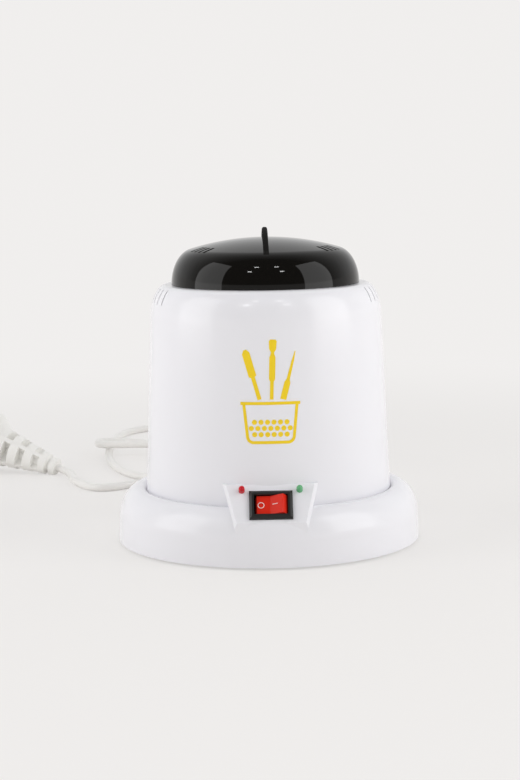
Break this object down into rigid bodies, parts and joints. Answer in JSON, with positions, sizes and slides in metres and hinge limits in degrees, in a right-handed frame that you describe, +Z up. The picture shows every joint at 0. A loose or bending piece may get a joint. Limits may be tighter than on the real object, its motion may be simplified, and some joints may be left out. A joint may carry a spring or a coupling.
{
  "type": "glass bead sterilizer",
  "caption": "Countertop glass bead heat sterilizer for small tools: round housing, heated bead pot, loose domed lid, rocker switch, indicator lamps and a mains cord with plug.",
  "frame": {"origin": "centre of the round base, on the surface it stands on", "axes": "+Z up along the housing's axis; -Y is the front with the switch, +Y the back where the cord leaves"},
  "size_m": [0.2745, 0.4408, 0.1608],
  "materials": {
    "housing": "glossy moulded plastic",
    "lid": "glossy black plastic",
    "steel": "plain steel",
    "screw": "plated steel",
    "pot": "deep-drawn stainless steel",
    "beads": "clear glass beads",
    "heater": "mica-cored band",
    "insulation": "ceramic fibre",
    "ceramic": "cream moulded body",
    "fuse": "small metal can",
    "plate": "fine matt texture",
    "rubber": "matt rubber",
    "switch": "satin black",
    "rocker": "glossy red",
    "brass": "plain brass",
    "lamp_red": "clear tinted lens",
    "lamp_green": "clear tinted lens",
    "board": "paper board",
    "resistor": "lacquered",
    "block": "natural nylon",
    "cord": "white flexible sheath",
    "bushing": "white flexible rubber",
    "wire": "insulated wire",
    "plug": "white moulded plastic",
    "pins": "plated pins"
  },
  "bodies": {
    "base": {"housing": "housing", "lid": "lid", "top_ring": "steel", "ring_screws": "screw", "pot": "pot", "glass_beads": "beads", "heater_band": "heater", "band_screw": "screw", "insulation_sleeve": "insulation", "insulation_pad": "insulation", "shield_can": "steel", "bimetal_cutout": "ceramic", "cutout_bracket": "steel", "bracket_rivets": "screw", "fuse": "fuse", "fuse_clip": "steel", "base_plate": "plate", "base_screws": "screw", "rubber_feet": "rubber", "switch_body": "switch", "switch_terminals": "brass", "lamp_board": "board", "lamp_red": "lamp_red", "lamp_green": "lamp_green", "lamp_resistors": "resistor", "terminal_block": "block", "terminal_tubes": "brass", "terminal_screws": "screw", "cord_bushing": "bushing", "cord_tail": "cord", "cord_clamp": "plate", "clamp_screws": "screw", "inner_wires": "wire", "mains_cord": "cord", "plug_body": "plug", "plug_pins": "pins"},
    "rocker": {"rocker": "rocker", "rocker_plunger": "brass"},
    "contact_lever": {"contact_lever": "brass"}
  },
  "joints": [
    {"name": "rocker_tilt", "type": "hinge", "parent": "base", "child": "rocker", "pos_m": [0, -0.06821, 0.02938], "axis": [0, 0.6157, 0.788], "range_deg": [0, 24]},
    {"name": "lever_tilt", "type": "hinge", "parent": "base", "child": "contact_lever", "pos_m": [0, -0.06108, 0.02381], "axis": [0, 0.6157, 0.788], "range_deg": [-14.4, 0]}
  ],
  "couplings": [
    {"joint": "lever_tilt", "follows": "rocker_tilt", "ratio": -0.6}
  ]
}
